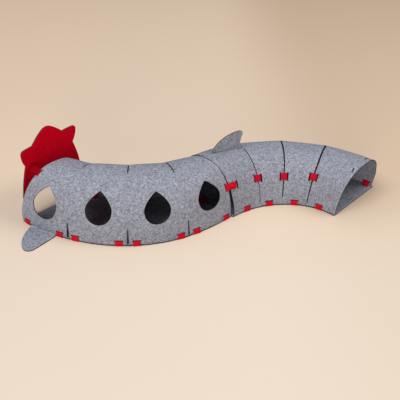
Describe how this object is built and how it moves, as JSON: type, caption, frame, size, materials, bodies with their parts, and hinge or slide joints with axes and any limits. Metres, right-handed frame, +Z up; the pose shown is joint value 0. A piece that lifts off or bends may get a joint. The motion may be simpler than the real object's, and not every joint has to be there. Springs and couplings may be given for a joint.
{
  "type": "cat tunnel",
  "caption": "S-shaped felt tunnel for a cat to run through: arched bends with teardrop windows, an eared end panel and fins, laced to flat floors with red felt straps.",
  "frame": {"origin": "middle of the tunnel's bounding box, on the ground that the floors lie on", "axes": "+X along the S from the end with the panel to the plain end, +Y from the side with the windows to the far side, +Z up"},
  "size_m": [1.4848, 0.5934, 0.3577],
  "materials": {
    "grey_felt": "matte",
    "panel_red_felt": "matte",
    "strap_red_felt": "matte"
  },
  "bodies": {
    "root": {"floor_head": "grey_felt", "floor_tail": "grey_felt", "wall_head": "grey_felt", "wall_tail": "grey_felt", "panel_grey": "grey_felt", "panel_red": "panel_red_felt", "fin_dorsal": "grey_felt", "fin_pectoral": "grey_felt", "strap_head_outer_1": "strap_red_felt", "strap_head_outer_2": "strap_red_felt", "strap_head_outer_3": "strap_red_felt", "strap_head_outer_4": "strap_red_felt", "strap_head_outer_5": "strap_red_felt", "strap_head_outer_6": "strap_red_felt", "strap_head_outer_7": "strap_red_felt", "strap_head_outer_8": "strap_red_felt", "strap_head_inner_1": "strap_red_felt", "strap_head_inner_2": "strap_red_felt", "strap_head_inner_3": "strap_red_felt", "strap_head_inner_4": "strap_red_felt", "strap_head_slit_1": "strap_red_felt", "strap_head_slit_2": "strap_red_felt", "strap_head_slit_3": "strap_red_felt", "strap_tail_outer_1": "strap_red_felt", "strap_tail_outer_2": "strap_red_felt", "strap_tail_outer_3": "strap_red_felt", "strap_tail_outer_4": "strap_red_felt", "strap_tail_outer_5": "strap_red_felt", "strap_tail_outer_6": "strap_red_felt", "strap_tail_outer_7": "strap_red_felt", "strap_tail_outer_8": "strap_red_felt", "strap_tail_inner_1": "strap_red_felt", "strap_tail_inner_2": "strap_red_felt", "strap_tail_inner_3": "strap_red_felt", "strap_tail_inner_4": "strap_red_felt", "strap_tail_slit_1": "strap_red_felt", "strap_tail_slit_2": "strap_red_felt", "strap_tail_slit_3": "strap_red_felt", "strap_panel_near": "strap_red_felt", "strap_panel_far": "strap_red_felt", "strap_joint_near": "strap_red_felt", "strap_joint_far": "strap_red_felt", "strap_joint_floor": "strap_red_felt"}
  },
  "joints": []
}
